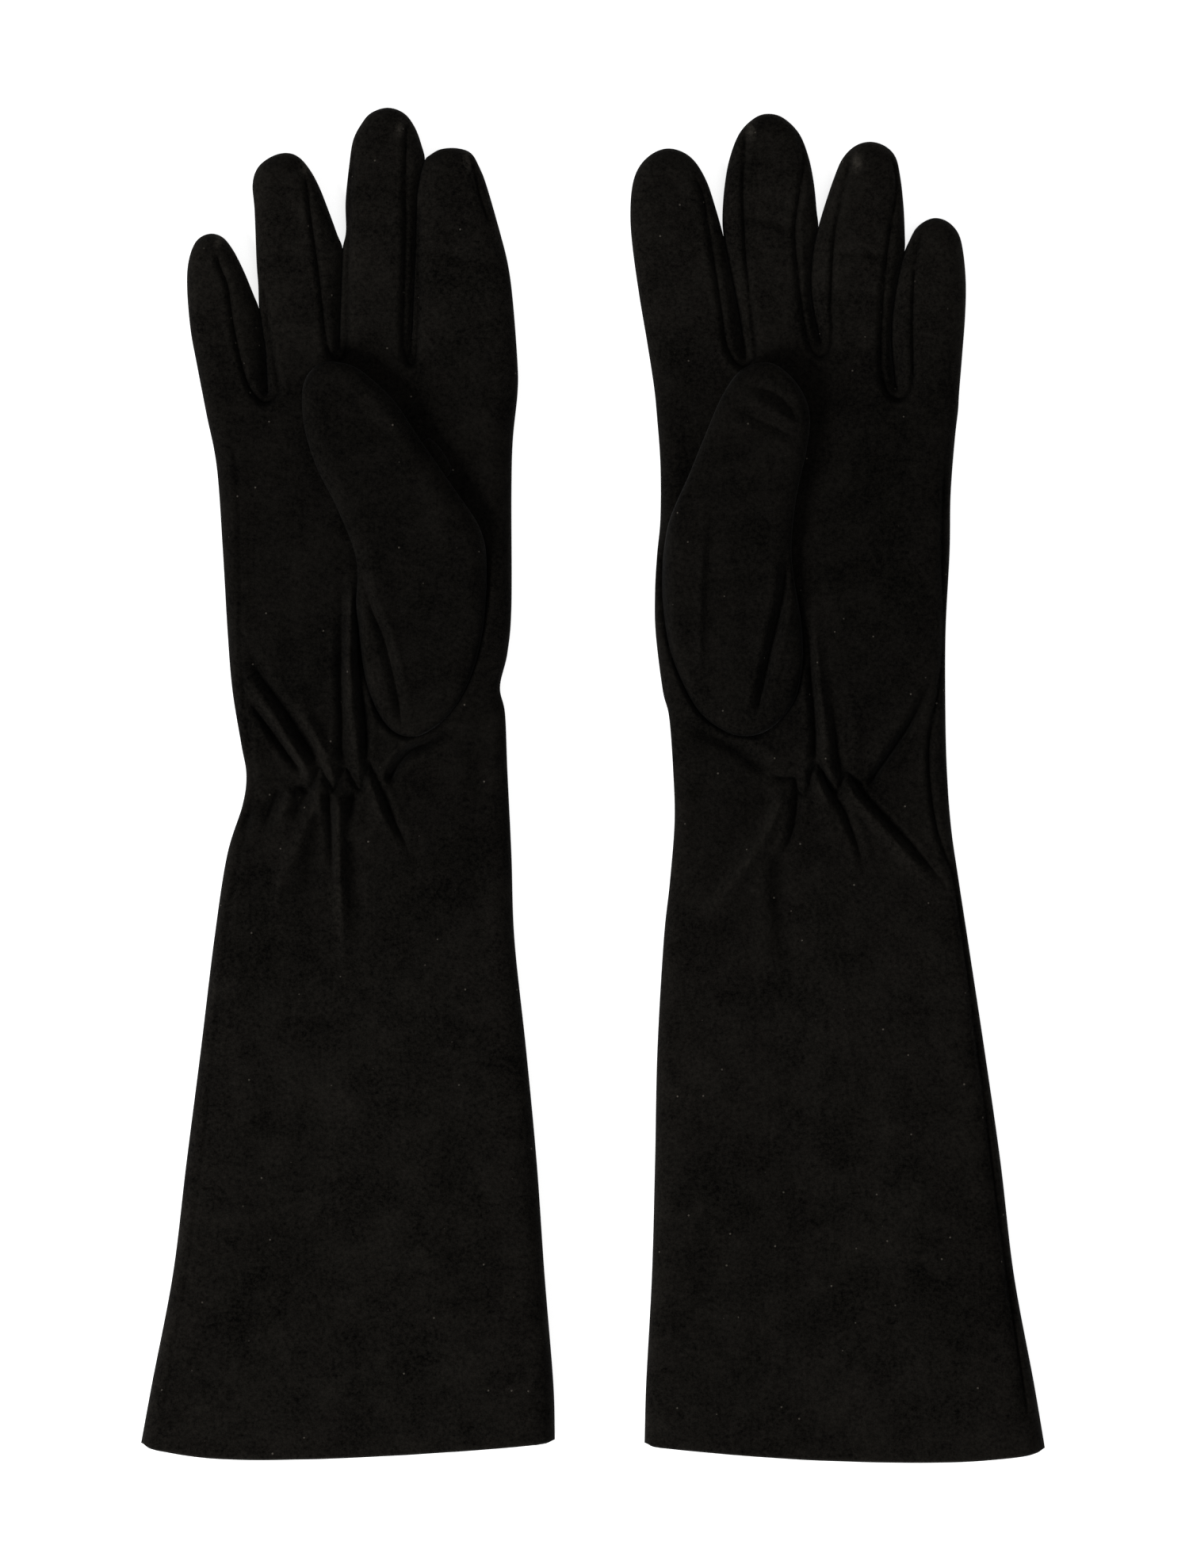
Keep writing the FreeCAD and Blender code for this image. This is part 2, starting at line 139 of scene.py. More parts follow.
# The whole edge of each thumb, about the thumb's joint: the tip, the inner side, the lobe in the palm
# and back up the outer side.
THUMB_EDGES = {
    "right": [(-27.5, 62), (-20.5, 60.8), (-14.6, 56.8), (-7.5, 49.7), (-0.5, 39.2), (10.1, 23.9), (16.2, 15),
              (18.8, 8), (19.3, 0), (19.0, -8), (17.9, -18.4), (14.8, -30.2), (10.1, -39.6), (4.2, -45.8),
              (-2.4, -48.8), (-8.5, -47.1), (-13.4, -40.7), (-16.9, -30.2), (-18.6, -18.4), (-19.3, -9),
              (-18.8, -1), (-20.1, 7), (-25.1, 19.2), (-31, 31), (-34.3, 41.5), (-35.2, 50), (-34.6, 55.8),
              (-32, 60)],
    "left": [(9.5, 59.6), (15.3, 58.8), (21.6, 52.7), (24.7, 44.7), (24, 34.8), (20.9, 20.2), (19.4, 6),
             (20.2, -4), (22.3, -16.2), (22.8, -28.2), (20.4, -40), (13.6, -48.2), (5.4, -50.6),
             (-2.7, -47.7), (-9.4, -41.1), (-16, -26.5), (-18.5, -12), (-18.7, -2), (-18.2, 5),
             (-16.4, 13.9), (-10.8, 26.8), (-5.2, 40.5), (-1, 50), (3.8, 56.9)],
}

PATH_STEP = 1.0
ROOT_RISE = 7.0
LITTLE_ROOT_RISE = 4.6


def smooth_path(points, step=PATH_STEP, closed=False):
    """A Catmull-Rom curve through the points."""
    points = np.array(points, float)
    if closed:
        points = np.vstack([points[-1], points, points[:2]])
    else:
        points = np.vstack([2 * points[0] - points[1], points, 2 * points[-1] - points[-2]])
    pieces = []
    for a, b, c, d in zip(points, points[1:], points[2:], points[3:]):
        count = max(2, int(np.ceil(np.linalg.norm(c - b) / step)))
        t = (np.arange(count) / count)[:, None]
        pieces.append(0.5 * (2 * b + (c - a) * t + (2 * a - 5 * b + 4 * c - d) * t**2
                             + (3 * b - a - 3 * c + d) * t**3))
    if not closed:
        pieces.append(points[-2][None])
    return np.vstack(pieces)


def straight(start, end, step):
    """Points on a straight line, without its two ends."""
    count = max(2, int(round(np.linalg.norm(np.subtract(end, start)) / step)))
    t = (np.arange(1, count) / count)[:, None]
    return np.array(start) * (1 - t) + np.array(end) * t


def follow(points, path):
    """For each point: its distance to a path, and how far along the path that is, from 0 to 1."""
    tree = kdtree.KDTree(len(path))
    for index, (x, y) in enumerate(path):
        tree.insert((x, y, 0), index)
    tree.balance()
    nearest = np.array([tree.find((x, y, 0))[1] for x, y in points])
    starts = np.concatenate([[0], np.cumsum(np.linalg.norm(np.diff(path, axis=0), axis=1))])
    distance = np.full(len(points), np.inf)
    along = np.zeros(len(points))
    for first in (np.maximum(nearest - 1, 0), np.minimum(nearest, len(path) - 2)):
        a, b = path[first], path[first + 1]
        ab = b - a
        t = np.clip(((points - a) * ab).sum(1) / (ab**2).sum(1), 0, 1)
        gap = np.linalg.norm(points - a - t[:, None] * ab, axis=1)
        better = gap < distance
        distance = np.where(better, gap, distance)
        length = starts[first] + t * (starts[first + 1] - starts[first])
        along = np.where(better, length, along)
    return distance, along / starts[-1]


def inside(points, outline):
    """Which points lie inside a closed outline."""
    result = np.zeros(len(points), bool)
    x, y = points[:, 0], points[:, 1]
    for (x0, y0), (x1, y1) in zip(outline, np.roll(outline, -1, axis=0)):
        if y0 == y1:
            continue
        crosses = (y0 > y) != (y1 > y)
        result ^= crosses & (x < (x1 - x0) * (y - y0) / (y1 - y0) + x0)
    return result


def smooth_step(value, low, high):
    t = np.clip((value - low) / (high - low), 0, 1)
    return t * t * (3 - 2 * t)


# ---------------------------------------------------------------- seams and gathers


# A groove narrower than ROUND_WIDTH is sharp. Its shoulders' height is a share of its depth, and their
# place is in widths.
ROUND_WIDTH = 2.0
SHOULDER = 0.3
SHOULDER_PLACE = 2.6

# A crease lifts nothing further off than this many widths. Mesh points lie on it and beside it.
REACH_WIDTHS = 5
CREASE_STEP = 0.8
CREASE_OFFSETS = (0, -0.45, 0.45, -1.0, 1.0)

# Over which share of its length, at its start and at its end, each kind of crease fades in and out.
GATHER_FADE = (0.1, 0.5)
FOLD_FADE = (0.3, 0.3)
THUMB_FADE = (0.25, 0.2)
ELASTIC_FADE = (0.1, 0.1)
SEAM_FADE = (0.03, 0.03)
SIDE_SEAM_FADE = (0.05, 0.02)
NO_FADE = (1e-3, 1e-3)


class Crease:
    """A curve that shapes a sheet: a ridge, or a groove where its height is less than 0.

    A narrow groove is sharp, with a soft shoulder at each side. A wide one is round, like a ridge.
    """

    def __init__(self, points, width, height, fade=GATHER_FADE, back=False):
        self.points = points
        self.path = smooth_path(points)
        self.width = width
        self.height = height
        self.fade = fade
        self.back = back

    def lift(self, points):
        """How much the curve lifts each point."""
        reach = REACH_WIDTHS * self.width
        low, high = self.path.min(0) - reach, self.path.max(0) + reach
        near = ((points > low) & (points < high)).all(1)
        result = np.zeros(len(points))
        if not near.any():
            return result
        distance, along = follow(points[near], self.path)
        s = distance / self.width
        profile = np.exp(-s**2)
        if self.height < 0 and self.width < ROUND_WIDTH:
            profile = np.exp(-s) - SHOULDER * np.exp(-(s - SHOULDER_PLACE)**2)
        strength = smooth_step(along, -1e-3, self.fade[0]) * smooth_step(1 - along, -1e-3, self.fade[1])
        result[near] = self.height * strength * profile
        return result

    def mesh_points(self):
        """Points on the curve and beside it, so that the mesh follows it."""
        path = smooth_path(self.points, step=CREASE_STEP)
        tangent = np.gradient(path, axis=0)
        tangent /= np.linalg.norm(tangent, axis=1)[:, None]
        normal = np.stack([-tangent[:, 1], tangent[:, 0]], 1)
        return np.vstack([path + normal * offset for offset in CREASE_OFFSETS])


SEAM_WIDTH = 0.65
SEAM_DEPTH = -1.35

# The seams that join the fourchettes, from one finger's tip round the fork to the next finger's tip, and
# the seam at the outer side of a tip.
FINGER_SEAMS = {
    "right": [
        [(-47.3, 156.9), (-45.9, 151.7), (-43.8, 146.5), (-42.3, 136), (-40.0, 124.7), (-38.0, 117.9),
         (-35.7, 114.1), (-33.2, 112.1), (-30.3, 113.1), (-28.7, 116.2), (-29.7, 121.6), (-31.9, 134),
         (-33.6, 147.6)],
        [(-23.9, 185), (-22.0, 181.6), (-20.5, 176.1), (-19.3, 167.3), (-16.7, 148.6), (-14.9, 131.5),
         (-13.4, 126.3), (-11.3, 124.4), (-9.4, 126.3), (-8.9, 133), (-8.3, 151.7), (-7.8, 172.5),
         (-6.2, 189)],
        [(8.0, 197.4), (9.0, 194.1), (8.7, 174.6), (8.8, 164.2), (8.1, 133), (8.6, 126.6), (10.1, 123.4),
         (11.8, 125.5), (12.6, 143.4), (12.4, 161), (12.9, 172.5)],
        [(27.6, 185.4), (29.2, 180), (31.0, 172.5), (33.6, 165)],
    ],
    "left": [
        [(22.9, 186.1), (24.6, 181.3), (25.0, 174), (22.7, 159.3), (21.1, 142.4), (20.4, 127.7),
         (20.8, 120.4), (22.4, 115.1), (25.3, 113.2), (28.5, 114.6), (30.0, 120.4), (29.8, 137.2),
         (30.9, 155.1), (33.4, 164)],
        [(-5.7, 195), (-3.3, 189.7), (-2.5, 182.4), (-4.7, 166.6), (-4.9, 159.3), (-3.4, 143.5),
         (-1.0, 129.8), (2.2, 125.6), (5.2, 127.7), (6.0, 134), (5.7, 142.4), (7.0, 163), (12.0, 186.1)],
        [(-34.8, 179.8), (-32.2, 172.9), (-30.7, 164.5), (-26.8, 139.3), (-25.7, 130.9), (-23.6, 125.1),
         (-20.6, 122.7), (-17.8, 124.3), (-16.8, 128.8), (-19.5, 155.1), (-20.4, 176.1), (-19.4, 191.3),
         (-17.5, 194.2)],
    ],
}

# Gathers at the wrist, each from the elastic outwards: points, width, height. A groove is less than 0 high.
GATHERS = {
    "right": [
        ([(-21.3, 1.7), (-28.2, 10.9), (-34.2, 19.2), (-42, 29.6)], 0.9, -1.8),
        ([(-19.9, -1.0), (-21.2, 4), (-26.8, 14.6), (-32.8, 23.8), (-40, 34)], 1.9, 1.8),
        ([(-16.6, 4), (-20.3, 10), (-25.9, 19.2), (-30.9, 26.6), (-36, 35), (-39.6, 46)], 1.3, -2.0),
        ([(-12.5, -1.6), (-13.9, 5.4), (-16.7, 11.8), (-20.3, 19.2), (-24.9, 31)], 1.9, 1.6),
        ([(-8.9, 3.8), (-10.2, 10), (-10.0, 17.4), (-10.4, 26.6), (-10.3, 40), (-9.4, 66)], 1, -1.9),
        ([(-4.7, -1.6), (-6.1, 11.8), (-7.6, 25.6), (-7.8, 39.5), (-7.0, 67)], 1.8, 1.9),
        ([(-2.6, 5), (-2.9, 10), (-3.2, 17.4), (-4.4, 28.4), (-5.2, 42), (-4.4, 66)], 0.9, -2.2),
        ([(-2.2, 7.2), (-0.4, 1.7), (2.4, -4.7), (5.6, -12.1), (8.4, -17.6), (11.5, -25)], 0.9, -2.1),
        ([(-1.5, 2.6), (0.6, -8), (2.4, -18)], 2.4, 1.5),
        ([(3.0, -0.8), (9.1, 8.1), (16.5, 11.8), (26, 17)], 1.1, -3),
        ([(2.5, 6), (9.0, 11.5), (16.5, 15.5)], 1.6, 0.9),
        ([(-14.4, -1.6), (-13.8, -6.6), (-13.2, -16), (-12.9, -34)], 1, -2.2),
        ([(-16, -8), (-18.5, -18), (-21.3, -40)], 2.8, -1.5),
        ([(-10.9, -2.9), (-11.1, -12.1), (-11.0, -25), (-8.8, -62)], 2.0, 2.1),
        ([(-6.4, -2.4), (-7.4, -8), (-9.0, -14)], 1, -1.9),
        ([(-7.4, -16), (-5.6, -32), (-3.8, -52)], 3, -1.2),
        ([(-19.4, -2.4), (-21.7, -5.7), (-25.4, -12.3)], 1.5, -1.9),
        ([(-16.4, 2.4), (-17.2, -6), (-23.6, -20), (-28.6, -32.4), (-31.0, -50)], 2.6, 1.5),
        ([(-24.4, -3), (-26.4, -6.4), (-30.2, -13.6)], 1.8, 1.0),
        ([(-27.9, -2), (-30.2, -5.7), (-33.4, -14.6)], 1.5, -1.8),
        ([(-33, -4.6), (-37.8, -10.4), (-42, -18.6)], 1.5, -1.8),
        ([(39.0, 25), (33.0, 21), (26.0, 18)], 1.8, -0.7),
    ],
    "left": [
        ([(1.4, 4.6), (0.9, 8.6), (1.0, 13.5), (0.5, 22.4), (-0.3, 30.4), (-2.0, 56)], 0.9, -2.1),
        ([(6.2, -2), (4.6, 6), (3.6, 20), (2.0, 34), (0.8, 52)], 1.8, 1.7),
        ([(8.9, 1.8), (7.8, 7.6), (7.0, 13.5), (5.8, 24.4)], 0.8, -1.3),
        ([(11.8, 4), (12.6, 14), (11.6, 28)], 2.4, 1.0),
        ([(2.6, 4.6), (5.4, -2.3), (9.4, -8.3), (11.8, -14.3), (14.3, -21.2), (16.3, -29.1)], 0.9, -2),
        ([(2.0, 3.8), (4.0, -8), (7.0, -20)], 2.4, 1.2),
        ([(11.2, 2.4), (15.3, -3.8), (21.3, -10.3), (34.2, -24.2), (44, -36)], 0.8, -1.7),
        ([(9.8, 1.6), (12.8, -5), (20.2, -13.6), (32.2, -27.1), (40, -37)], 1.7, 1.7),
        ([(16.4, -1.8), (20.3, 4.0), (25.2, 11), (30.2, 19), (37.2, 33)], 0.9, -3),
        ([(16.6, 5.6), (22.6, 14), (31.2, 26.4)], 2.0, 1.3),
        ([(-12.5, 2.1), (-19.4, 7.6), (-27.4, 12.6), (-39.3, 16.5)], 2.1, -1.5),
        ([(-9.5, 6), (-17.0, 11.4), (-26.0, 17)], 2.0, 0.8),
        ([(-4.3, -2.4), (-4.8, -10.3), (-6.5, -17.2), (-10.5, -25.2)], 1, -2),
        ([(-9.5, -20), (-10.0, -32.1), (-9.0, -44), (-8.5, -62)], 3, -1.7),
        ([(-8.2, -1.3), (-11.0, -10.3), (-16.4, -20.2), (-25.4, -32.1), (-37.5, -44)], 2.0, 2.2),
        ([(-12.5, -2.3), (-18.4, -11.3), (-30.3, -21.2)], 3, -1),
        ([(-15.9, -32.1), (-22.4, -40), (-30.3, -51.9)], 3.5, -1),
        ([(-2.4, -2), (-2.2, 6), (-3.6, 16)], 1.7, 0.8),
    ],
}

# Along the elastic, round the end of each fold from above and of each fold from below in turn.
ELASTIC_LINES = {
    "right": [(-26, -1.2), (-23, -1.7), (-19.9, -2.0), (-17.9, 0.6), (-16.4, 4.2), (-14.6, 0.8),
              (-12.5, -2.4), (-10.7, 0.6), (-8.9, 4), (-7.0, 0.8), (-4.7, -2.4), (-3.0, 2), (-2.3, 6)],
    "left": [(-13.5, 2.1), (-8.5, 1.1), (-5.0, 1.0), (-4.2, -2.6), (-2.5, -3.9), (-0.9, -2.4), (-0.1, 2.6),
             (1.9, 5.1), (3.9, 1.1), (6.0, -2.8), (8.0, -2.6), (9.2, 0.8), (10.8, 2.6), (13.3, -0.4),
             (17.3, -1.4)],
}

# Soft folds: points, width, height.
FOLDS = {
    "right": [
        ([(-36, 96), (-12, 104), (12, 103)], 3.4, -0.4),
        ([(-44, 60), (-30, 66), (-18, 63)], 3.0, -0.35),
        ([(-31.3, 154.6), (-27.4, 156.1), (-21.5, 156.9)], 1.3, -0.6),
        ([(-31, 135), (-25.3, 136), (-17, 134.5)], 1.6, 0.5),
        ([(-6.6, 167.1), (-0.4, 166.1), (6.4, 164.7)], 1.3, -0.5),
        ([(14.2, 156.9), (20.4, 155.9), (28, 154.6)], 1.4, -0.7),
        ([(14, 147.6), (21, 146), (29, 146.5)], 1.8, 0.5),
        ([(30, 62), (33, 30), (30, -20), (34, -90)], 4.0, -0.6),
        ([(-30, -40), (-38, -90), (-46, -150)], 7.0, 0.8),
        ([(10, -60), (14, -120), (20, -180)], 9.0, 0.9),
        ([(-14, -70), (-18, -130)], 7.0, -0.8),
        ([(-40, -126), (0, -134), (40, -128)], 6.0, -0.5),
    ],
    "left": [
        ([(-14, 103), (10, 100), (36, 90)], 3.4, -0.4),
        ([(22, 66), (34, 58), (38, 40)], 3.4, -0.5),
        ([(-50.9, 171.9), (-47.2, 175.9), (-42.5, 178.2), (-37.8, 176.9)], 1.1, -0.9),
        ([(-49, 168), (-45, 171.6), (-38, 172)], 1.6, 0.5),
        ([(-20.2, 165.8), (-13.1, 166.4), (-7.8, 164.3), (-4.7, 162.9)], 1.2, -0.8),
        ([(-18, 162), (-12, 162.4), (-7, 160)], 1.8, 0.5),
        ([(6.4, 155.9), (14.3, 156.5), (21.6, 155.6)], 1.1, -0.7),
        ([(31, 140), (37, 138.5), (44, 140)], 1.5, -0.45),
        ([(-30, -60), (-34, -120), (-38, -170)], 8.0, 0.8),
        ([(20, -60), (30, -120), (42, -180)], 9.0, 0.9),
        ([(-4, -70), (-2, -130)], 7.0, -0.8),
        ([(-40, -140), (0, -146), (44, -138)], 6.0, -0.5),
    ],
}

# The side seam on the little-finger side.
SIDE_SEAMS = {
    "right": [(-44.6, 108), (-41.0, 90), (-40.2, 60), (-39.6, 30), (-37.2, 8), (-37.0, -6), (-43.4, -40),
              (-49.0, -90), (-55.0, -140), (-63.5, -190)],
    "left": [(39.6, 100), (38.6, 70), (39.2, 44.3), (37.6, 27.4), (34.9, 11.5), (35.3, -2.3), (37.1, -14.3),
             (39.6, -22.2), (42.9, -34), (50.0, -86), (56.0, -134), (64.2, -190)],
}

# Creases on the thumbs, about the thumb's joint.
THUMB_CREASES = {
    "right": [
        ([(-20, 10), (-17.4, -2.3), (-14.6, -11.5), (-10.9, -20.7), (-6.9, -38.2), (-5.6, -52)], 1.1, -1.7),
        ([(-17, 12), (-11.0, -8), (-6.2, -26), (-3.4, -40)], 3.2, 0.7),
        ([(-3, 34), (4, 22), (10, 8)], 3.0, 0.5),
        ([(-21.4, 53), (-15, 46), (-8, 38)], 2.2, -0.5),
    ],
    "left": [
        ([(18.2, 6), (16.9, -8.8), (14.4, -20), (11.8, -32), (8.6, -46.5)], 1.15, -3.6),
        ([(12.6, 2), (11.2, -12), (8.6, -30)], 2.8, 0.8),
        ([(2.1, 46.5), (8.1, 43.5), (14.2, 40.5), (22, 37)], 1.3, -1.0),
        ([(6, 49.5), (13, 46), (20.5, 42)], 1.5, 0.8),
        ([(5.1, 52.8), (12.5, 51.4), (17.9, 47.6), (20.6, 41.6)], 1.2, -1.1),
        ([(14.6, 57.6), (19.2, 54), (22.6, 46.4)], 1.4, 1.2),
        ([(-5.8, 15.7), (-7.3, -3.9), (-7.7, -20.4), (-7.3, -33.9)], 1.4, 1.1),
        ([(-3.2, 15.7), (-4.5, -3.9), (-4.6, -20.4), (-4.2, -32)], 2.6, -0.5),
    ],
}


# ---------------------------------------------------------------- one glove in plan

# Along the glove: place, thickness of the flattened tube, and how far in its rolled edge reaches.
LEVELS = (-200, -150, -60, -12, 0, 12, 45, 105, 135, 200)
THICKNESS = (10.6, 9.6, 8.8, 7.4, 6.6, 7.2, 8.8, 9.2, 9.0, 8.8)
EDGE_REACH = (6.0, 6.0, 6.0, 5.5, 5.0, 5.5, 6.5, 6.5, 7.0, 7.0)

# How high the rim lies, as a share of the thickness, the gap under the glove, and the least height
# from the back sheet up to the palm sheet.
RIM_SHARE = 0.45
FLOOR_GAP = 0.15
LEAST_HEIGHT = 0.6

# Width and height of the line of stitches along the elastic, and of the line at the top of the turned hem.
ELASTIC_LINE = (0.8, -1.4)
HEM_LINE = (1.1, -0.45)
HEM_TURN = 11.0
HEM_POINTS = 8

# Along the thumb from its joint: where it stops being sewn into the palm.
SEWN_END = (-8.0, 6.0)

# How deep the side seam shows, as a share of a seam's depth.
SIDE_SEAM_SHARE = {"right": 0.35, "left": 1.0}

# Length and height of each wave of the skin's unevenness.
RIPPLES = ((26.0, 0.7), (9.0, 0.22))


class Plan:
    """One glove in plan: its rim from hem corner to hem corner, and the curves that shape it."""

    def __init__(self, glove):
        self.glove = glove
        self.inward = -1.0 if glove == "right" else 1.0
        self.wrist = joint_place(f"{glove}_wrist_fold")[:2]
        self.thumb = joint_place(f"{glove}_thumb_lift")[:2]
        self.thumb_rim = smooth_path(np.array(THUMB_EDGES[glove]) + self.thumb, closed=True)
        self.draw_rim()
        hem = np.vstack([self.rim[-1], self.place(SIDES[glove]["hem"]), self.rim[0]])
        self.hem = smooth_path(hem)[1:-1]
        self.seams = [Crease(self.place(curve), SEAM_WIDTH, SEAM_DEPTH, fade=SEAM_FADE, back=True)
                      for curve in FINGER_SEAMS[glove]]
        side = self.place(SIDE_SEAMS[glove])
        side_depth = SIDE_SEAM_SHARE[glove] * SEAM_DEPTH
        self.seams.append(Crease(side, SEAM_WIDTH, side_depth, fade=SIDE_SEAM_FADE))
        oval = np.vstack([self.thumb_rim, self.thumb_rim[:1]])
        self.oval = Crease(oval, SEAM_WIDTH, SEAM_DEPTH, fade=NO_FADE)
        self.gathers = [Crease(self.place(points), width, height)
                        for points, width, height in GATHERS[glove]]
        self.gathers.append(Crease(self.place(ELASTIC_LINES[glove]), *ELASTIC_LINE, fade=ELASTIC_FADE))
        self.folds = [Crease(self.place(points), width, height, fade=FOLD_FADE)
                      for points, width, height in FOLDS[glove]]
        hem_line = self.hem[::HEM_POINTS] + (0, HEM_TURN)
        self.folds.append(Crease(hem_line, *HEM_LINE, fade=NO_FADE, back=True))

    def place(self, points):
        """Points about the wrist joint, in the frame."""
        return np.array(points, float) + self.wrist

    def sewn(self, points):
        """Where the thumb is sewn into the palm: 1 there, and 0 where it is free."""
        return 1 - smooth_step((points - self.thumb) @ thumb_axis(self.glove), *SEWN_END)

    def root_level(self, finger):
        """How far up the glove a finger's own piece starts."""
        rise = LITTLE_ROOT_RISE if finger == "little" else ROOT_RISE
        return joint_place(f"{self.glove}_{finger}_fold")[1] + rise

    def draw_rim(self):
        """The whole rim, with points where it crosses the fingers' roots, and each finger's stretch."""
        sides, tips, valleys = SIDES[self.glove], TIPS[self.glove], VALLEYS[self.glove]
        controls = [self.place(sides["little"])]
        tip_counts = {}
        for finger in FINGERS:
            tip_counts[finger] = sum(map(len, controls)) + len(tips[finger]) // 2
            controls.append(self.place(tips[finger]))
            if finger in valleys:
                valley = self.place(valleys[finger])
                press = np.array([OVERLAP * self.inward, 0])
                controls += [valley[:-1] - press, valley[-1:], valley[-2::-1] + press]
        controls.append(self.place(sides["index"]))
        controls = np.vstack(controls)
        path = smooth_path(controls)
        self.stretches = {}
        for finger in FINGERS:
            level = self.root_level(finger)
            tip = np.linalg.norm(path - controls[tip_counts[finger]], axis=1).argmin()
            last = tip + np.flatnonzero(path[tip:, 1] < level)[0]
            first = tip - np.flatnonzero(path[tip::-1, 1] < level)[0]
            start = cross_level(path[first], path[first + 1], level)
            end = cross_level(path[last], path[last - 1], level)
            path = np.vstack([path[:first + 1], start, path[first + 1:last], end, path[last:]])
            self.stretches[finger] = (first + 1, last + 1)
        self.rim = path

    def heights(self, points, rim):
        """The palm sheet's and the back sheet's height over the table at each point."""
        distance, _ = follow(points, rim)
        reach = np.interp(points[:, 1], LEVELS, EDGE_REACH)
        share = np.sqrt(1 - (1 - np.clip(distance / reach, 0, 1))**2)
        thickness = np.interp(points[:, 1], LEVELS, THICKNESS)
        middle = RIM_SHARE * thickness
        lift = ripples(points)
        press = np.zeros(len(points))
        for crease in self.seams + self.gathers + self.folds:
            amount = crease.lift(points)
            lift += amount
            if crease.back:
                press -= amount
        top = middle + (thickness - middle + lift) * share
        bottom = FLOOR_GAP + middle * (1 - share) + press * share
        return np.maximum(top, bottom + LEAST_HEIGHT), bottom


def cross_level(below, above, level):
    """Where a step of the rim crosses a level."""
    return below + (above - below) * (level - below[1]) / (above[1] - below[1])


def ripples(points):
    """The slow unevenness of soft skin."""
    total = np.zeros(len(points))
    for length, height in RIPPLES:
        total += [height * noise.noise(Vector((x / length, y / length, length))) for x, y in points]
    return total


# ---------------------------------------------------------------- meshes


# The rows of points inside a rim, as degrees round its edge, and the share of its depth that a point
# keeps where the rim bends back on itself.
RING_TURNS = (15, 32, 49, 66)
RING_KEPT = 0.93

# The least gap from the points already there: of a ring's and of a seam's points in millimetres, and of
# a grid's as a share of its spacing.
RING_GAP = 0.1
FEATURE_GAP = 0.4
GRID_GAP = 0.62


def rim_rings(rim, inward, reach):
    """Rows of points inside a rim, closer together towards it, so that its edge turns over smoothly."""
    tangent = np.gradient(rim, axis=0)
    tangent /= np.linalg.norm(tangent, axis=1)[:, None]
    normal = np.stack([-tangent[:, 1], tangent[:, 0]], 1) * inward
    rings = []
    for turn in np.radians(RING_TURNS):
        depth = reach * (1 - math.cos(turn))
        points = rim + normal * depth
        distance, _ = follow(points, rim)
        rings.append(points[distance > RING_KEPT * depth])
    return np.vstack(rings)


def hex_grid(low, high, spacing):
    """Points in offset rows over a rectangle."""
    rows = np.arange(low[1], high[1], spacing * math.sqrt(0.75))
    points = []
    for index, y in enumerate(rows):
        x = np.arange(low[0] + (index % 2) * spacing / 2, high[0], spacing)
        points.append(np.stack([x, np.full(len(x), y)], 1))
    return np.vstack(points)


def keep_apart(points, taken, gap):
    """The points that are further than a gap from the points already taken."""
    tree = kdtree.KDTree(len(taken))
    for index, (x, y) in enumerate(taken):
        tree.insert((x, y, 0), index)
    tree.balance()
    return np.array([p for p in points if tree.find((p[0], p[1], 0))[2] > gap]).reshape(-1, 2)


def fill(outline, rings, features, grids):
    """Triangles over an outline: every outline point, then rings, then seam points, then grids."""
    taken = outline
    for points, gap in [(rings, RING_GAP), (features, FEATURE_GAP)] + grids:
        points = points[inside(points, outline)]
        taken = np.vstack([taken, keep_apart(points, taken, gap)])
    count = len(outline)
    edges = [(index, (index + 1) % count) for index in range(count)]
    made = geometry.delaunay_2d_cdt([Vector(p) for p in taken], edges, [], 1, 1e-6)
    return np.array([tuple(v) for v in made[0]]), np.array(made[2])


def two_sheets(points, triangles, top, bottom, rim):
    """Vertices and faces of a palm sheet and a back sheet that share the rim's points."""
    distance, _ = follow(points, rim)
    on_rim = distance < 1e-3
    top = np.where(on_rim, (top + bottom) / 2, top)
    lower = np.arange(len(points))
    lower[~on_rim] = len(points) + np.arange((~on_rim).sum())
    a, b, c = (points[triangles[:, k]] for k in range(3))
    cross = (b - a)[:, 0] * (c - a)[:, 1] - (b - a)[:, 1] * (c - a)[:, 0]
    upward = np.where((cross > 0)[:, None], triangles, triangles[:, ::-1])
    vertices = np.vstack([np.column_stack([points, top]), np.column_stack([points, bottom])[~on_rim]])
    faces = np.vstack([upward, lower[upward[:, ::-1]]])
    return vertices, faces


# How light the nap is, and over which levels it changes from the arm to the palm and on to the fingers.
ARM_NAP = 0.9
PALM_NAP = 0.66
FINGER_NAP = 1.0
# Painted shade in the gathers' grooves and a painted highlight on their ridges, per millimetre of lift.
PAINTED_LIGHT_PER_GATHER = 0.15
# Painted shade along the seams and along the thumb's sewn-in edge, per millimetre of depth.
PAINTED_SHADE_PER_SEAM = 0.3
PALM_LEVELS = (-60, 10)
FINGER_LEVELS = (105, 150)
NAP_RANGE = (0.2, 6)
# Worn places are lighter, partly worn nap and partly a painted shine.
WEAR_AND_SHINE = 3.2
WEAR_AND_SHINE_SIZE = (1.1, 2.4)

# Worn places at the fingertips, beside the ends of the seams: lighter where the nap is rubbed, with a painted
# shine.
WORN_SHINY_PLACES = {
    "right": [(7.2, 193.4), (27.0, 183.4), (-21.4, 181.4), (-46.6, 160)],
    "left": [(-18.2, 192.6), (13.4, 183.2)],
}


